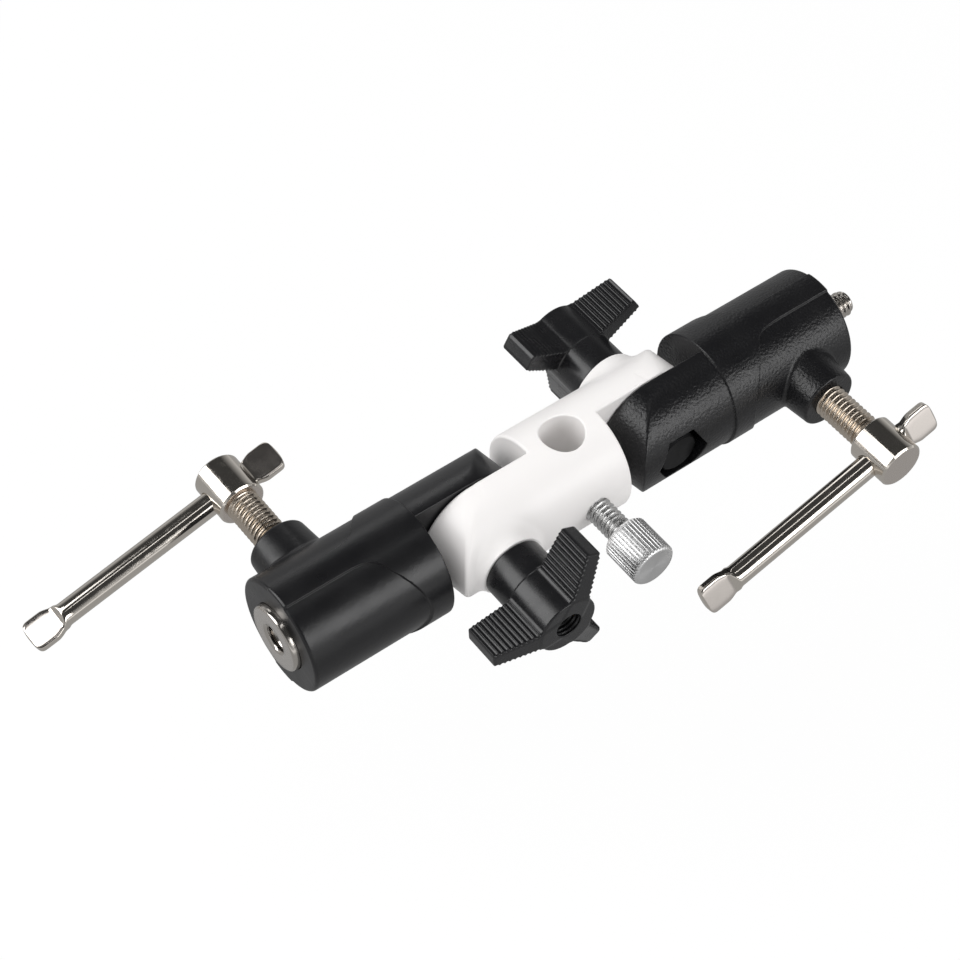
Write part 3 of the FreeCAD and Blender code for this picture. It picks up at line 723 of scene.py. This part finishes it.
def add_spigot(side):
    """A turned spigot: a threaded hole at the left, a threaded stud at the right."""
    face = SPIGOT_FACE_X
    slope = WAIST_HALF + WAIST_SLOPE
    outside = [(SPIGOT_INNER_X, TIP), (SPIGOT_INNER_X, SPIGOT_R - 0.6), (SPIGOT_INNER_X + 0.6, SPIGOT_R),
               (BOSS_X - slope, SPIGOT_R), (BOSS_X - WAIST_HALF, WAIST_R),
               (BOSS_X + WAIST_HALF, WAIST_R), (BOSS_X + slope, SPIGOT_R),
               (face - 0.55, SPIGOT_R), (face - 0.2, SPIGOT_R - 0.15), (face, SPIGOT_R - 0.45)]
    bore = QUARTER_INCH_R + PLAY
    root = QUARTER_INCH_R - STUD_CUT
    hole = [(face, bore + 0.65), (face - 0.6, bore + 0.05), (face - 0.8, bore, -0.35),
            (face - 11.0, bore, -0.35), (face - 11.5, bore), (face - 12.5, TIP)]
    stud = [(face, QUARTER_INCH_R + 0.4), (face + 0.4, root + 0.1), (face + 1.0, root + 0.1),
            (face + 1.5, QUARTER_INCH_R, STUD_CUT), (STUD_END_X - 0.8, QUARTER_INCH_R, STUD_CUT),
            (STUD_END_X, root - 0.1), (STUD_END_X, TIP)]
    piece = lathe("spigot_body_" + side, outside + (hole if side == "left" else stud), HALF_TURN[side],
                  pitch=QUARTER_INCH_PITCH)
    finish_piece(piece, side + "_spigot", ["spigot_" + side], "nickel_spigot", nickel_satin, spigot_face,
                 bore_painted_shade)
    other_finish(piece, faces_along(Vector((1, 0, 0))))
    # the faces inside the threaded hole take the near-black nickel: painted shade, not the metal's own
    # colour
    if side == "left":
        rim = (bore + 0.1) * MM
        other_finish(piece, lambda flat: math.hypot(flat.center.y, flat.center.z) < rim, index=2)


def add_umbrella_screw():
    """A thumbscrew with a straight-knurled head and a spun end face."""
    turn = OUT_OF_SCREW["right"]
    thread = [(THUMB_TIP_Y, TIP), (THUMB_TIP_Y, QUARTER_INCH_R - 0.7),
              (THUMB_TIP_Y + 0.7, QUARTER_INCH_R, THUMB_CUT),
              (THUMB_HEAD_Y - 0.5, QUARTER_INCH_R, THUMB_CUT),
              (THUMB_HEAD_Y + 0.2, QUARTER_INCH_R), (THUMB_HEAD_Y + 0.2, TIP)]
    shank = lathe("umbrella_screw_thread", thread, turn, pitch=QUARTER_INCH_PITCH, around=80)
    finish_piece(shank, "umbrella_thumbscrew", ["umbrella_screw"], "knurled_steel", thumb_metal)
    radius = THUMB_HEAD_R
    knurl = [(THUMB_HEAD_Y, TIP), (THUMB_HEAD_Y, radius - 0.6), (THUMB_HEAD_Y + 0.3, radius - 0.3, 0.12),
             (THUMB_HEAD_Y + 0.55, radius - 0.05, KNURL_CUT),
             (THUMB_END_Y - 0.75, radius - 0.02, KNURL_CUT), (THUMB_END_Y - 0.4, radius - 0.2, 0.16),
             (THUMB_END_Y - 0.12, radius - 0.5),
             (THUMB_END_Y, radius - 0.75), (THUMB_END_Y, radius - 1.2), (THUMB_END_Y - 0.06, TIP)]
    head = lathe("umbrella_screw_knurl", knurl, turn, around=12 * KNURLS, grooves=KNURLS)
    finish_piece(head, "umbrella_thumbscrew", ["umbrella_screw"], "knurled_steel", knurl_metal, thumb_face)
    other_finish(head, faces_along(Vector((0, 1, 0))))


def add_bolt(side):
    """The swivel bolt: a blackened hexagon head in the ear's pocket and a thread inside the knob."""
    sign = SIDES[side]
    turn = OUT_OF_KNOB[side]
    head_y = -low("pivot_bolt_right")[1]
    shift = (sign * PIVOT_X, -sign * head_y, 0)
    length = head_y + BOLT_END_Y
    body = [(BOLT_HEAD - 0.3, TIP), (BOLT_HEAD - 0.3, BOLT_R), (length - BOLT_THREAD, BOLT_R, BOLT_CUT),
            (length - 0.8, BOLT_R, BOLT_CUT), (length, BOLT_R - 0.75), (length, TIP)]
    shank = lathe("pivot_bolt_shank_" + side, body, turn, shift, pitch=BOLT_PITCH, around=64)
    finish_piece(shank, side + "_receiver", ["pivot_bolt_" + side], "black_steel", black_steel)
    head = solid("pivot_bolt_head_" + side, bolt_head_field, (0, -BOLT_CORNER_R, -BOLT_CORNER_R),
                 (BOLT_HEAD, BOLT_CORNER_R, BOLT_CORNER_R), voxel=0.2, turn=turn, shift=shift)
    finish_piece(head, side + "_receiver", ["pivot_bolt_" + side], "black_steel", black_steel)


def paint_node(node, made):
    """Put a material on a CAD node that stays as it is."""
    for material_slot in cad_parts[node].material_slots:
        material_slot.material = made


add_block()
add_umbrella_screw()
paint_node("umbrella_screw_tip", soft_pad)
for side_name in SIDES:
    add_receiver(side_name)
    add_knob(side_name)
    add_clamping_screw(side_name)
    add_t_bar(side_name)
    add_spigot(side_name)
    add_bolt(side_name)
    paint_node("thrust_pad_" + side_name, brass)
    paint_node("knob_insert_" + side_name, brass)
    paint_node("knob_washer_" + side_name, zinc)
    paint_node("friction_washer_" + side_name, fibre)


# ---------------------------------------------------------------- floor, light and camera
# in metres, but the camera's distance, shifts and lens in millimetres; what is mirrored goes from one
# strength to another between two places along Y on the floor, or two heights of a direction in the sky
FLOOR_REACH = 3.0
FLOOR_DROP = 0.078
FLOOR_SHADE = 0.75
FLOOR_GLOW = 1.02
FLOOR_WASH = 0.90
MIRRORED_FLOOR_Y = (-0.30, -0.80)
MIRRORED_FLOOR = (0.38, 1.0)
MIRRORED_SKY_HEIGHT = (0.0, 0.6)
MIRRORED_SKY = (0.55, 0.045)
AMBIENT = 0.57
LAMP_DISTANCE = 0.9
CAMERA_AZIMUTH = math.radians(-37.03)
CAMERA_ELEVATION = math.radians(51.51)
CAMERA_ROLL = math.radians(0.284)
CAMERA_DISTANCE = 532.6
CAMERA_ACROSS = -17.83
CAMERA_UP = -2.23
CAMERA_LENS = 89.57


def graded(tree, output, axis, places, strengths):
    """A strength that goes from one value to another along an axis of a node's coordinates."""
    coordinates = tree.nodes.new("ShaderNodeTexCoord")
    split = tree.nodes.new("ShaderNodeSeparateXYZ")
    tree.links.new(coordinates.outputs[output], split.inputs[0])
    return map_range(tree, split.outputs[axis], places, strengths)


def choose(tree, ray, when_true, otherwise):
    """Pick between two shaders by the kind of ray that asks."""
    path = tree.nodes.new("ShaderNodeLightPath")
    mix = tree.nodes.new("ShaderNodeMixShader")
    tree.links.new(path.outputs[ray], mix.inputs[0])
    tree.links.new(otherwise, mix.inputs[1])
    tree.links.new(when_true, mix.inputs[2])
    return mix.outputs[0]


def add_floor():
    """A pale floor, clear of the receivers when they swing down. Its shadows are almost washed out
    to the camera, and its mirror image is darker under the bracket than in front of it."""
    ground = cad_bounds[0][2] - FLOOR_DROP
    mesh = bpy.data.meshes.new("floor")
    corners = [(-1, -1), (1, -1), (1, 1), (-1, 1)]
    points = [(FLOOR_REACH * x, FLOOR_REACH * y, ground) for x, y in corners]
    mesh.from_pydata(points, [], [(0, 1, 2, 3)])
    floor = bpy.data.objects.new("floor", mesh)
    bpy.context.collection.objects.link(floor)
    made = new_material("floor", (FLOOR_SHADE,) * 3, 0.8)
    tree = made.node_tree
    shader = tree.nodes["Principled BSDF"]
    shader.inputs["Specular IOR Level"].default_value = 0.0
    glow = tree.nodes.new("ShaderNodeEmission")
    glow.inputs["Strength"].default_value = FLOOR_GLOW
    wash = tree.nodes.new("ShaderNodeMixShader")
    wash.inputs[0].default_value = FLOOR_WASH
    tree.links.new(shader.outputs[0], wash.inputs[1])
    tree.links.new(glow.outputs[0], wash.inputs[2])
    card = tree.nodes.new("ShaderNodeEmission")
    strength = graded(tree, "Object", "Y", MIRRORED_FLOOR_Y, MIRRORED_FLOOR)
    tree.links.new(strength, card.inputs["Strength"])
    mirrored = choose(tree, "Is Glossy Ray", card.outputs[0], shader.outputs[0])
    seen = choose(tree, "Is Camera Ray", wash.outputs[0], mirrored)
    tree.links.new(seen, tree.nodes["Material Output"].inputs["Surface"])
    mesh.materials.append(made)


def direction(azimuth, elevation):
    """A unit vector, from angles in radians; azimuth 0 is -Y."""
    flat = math.cos(elevation)
    return Vector((math.sin(azimuth) * flat, -math.cos(azimuth) * flat, math.sin(elevation)))


def add_area(name, azimuth, elevation, size, power, aside=0.0, glossy=True):
    """A soft box facing the bracket, moved aside along its width; azimuth 90 stands at +X."""
    lamp = bpy.data.lights.new(name, "AREA")
    lamp.shape = "RECTANGLE"
    lamp.size, lamp.size_y = size
    lamp.energy = power
    made = bpy.data.objects.new(name, lamp)
    toward = direction(math.radians(azimuth), math.radians(elevation))
    facing = toward.to_track_quat("Z", "Y")
    made.location = toward * LAMP_DISTANCE + facing @ Vector((aside, 0, 0))
    made.rotation_euler = facing.to_euler()
    made.visible_glossy = glossy
    bpy.context.collection.objects.link(made)


def background(tree, strength=1.0):
    """A white background shader."""
    made = tree.nodes.new("ShaderNodeBackground")
    made.inputs["Color"].default_value = (1, 1, 1, 1)
    made.inputs["Strength"].default_value = strength
    return made


def add_world():
    """White to the camera, an even light to rough surfaces, and dark overhead to shiny ones."""
    world = bpy.data.worlds.new("studio")
    world.use_nodes = True
    tree = world.node_tree
    mirrored = background(tree)
    strength = graded(tree, "Generated", "Z", MIRRORED_SKY_HEIGHT, MIRRORED_SKY)
    tree.links.new(strength, mirrored.inputs["Strength"])
    lit = choose(tree, "Is Glossy Ray", mirrored.outputs[0], background(tree, AMBIENT).outputs[0])
    seen = choose(tree, "Is Camera Ray", background(tree).outputs[0], lit)
    tree.links.new(seen, tree.nodes["World Output"].inputs["Surface"])
    bpy.context.scene.world = world


def add_camera():
    """Look at the bracket from the front left and above, a little off its middle."""
    back = direction(CAMERA_AZIMUTH, CAMERA_ELEVATION)
    right = Vector((math.cos(CAMERA_AZIMUTH), math.sin(CAMERA_AZIMUTH), 0))
    up = back.cross(right)
    spot = (back * CAMERA_DISTANCE + right * CAMERA_ACROSS + up * CAMERA_UP) * MM
    rolled_right = right * math.cos(CAMERA_ROLL) + up * math.sin(CAMERA_ROLL)
    rolled_up = up * math.cos(CAMERA_ROLL) - right * math.sin(CAMERA_ROLL)
    lens = bpy.data.cameras.new("camera")
    lens.lens = CAMERA_LENS
    lens.sensor_width = 36
    lens.clip_start = 0.01
    camera = bpy.data.objects.new("camera", lens)
    axes = Matrix((rolled_right, rolled_up, back)).transposed().to_4x4()
    camera.matrix_world = Matrix.Translation(spot) @ axes
    bpy.context.collection.objects.link(camera)
    bpy.context.scene.camera = camera


add_floor()
add_world()
# the overhead box lights the bracket without showing in its shiny parts
add_area("overhead", 20, 75, (0.7, 0.7), 1.25, glossy=False)
add_area("front_box", 20, 26, (0.8, 0.40), 3.2)
add_area("left_box", -120, 30, (0.5, 0.74), 4.4)
add_area("back_box", 165, 30, (0.5, 0.25), 0.5)
add_area("top_strip", 180, 72, (0.26, 0.22), 0.42, aside=0.42)
add_area("line_strip", 20, 85, (0.8, 0.06), 0.3)
add_camera()
bpy.context.scene.view_settings.view_transform = "Standard"
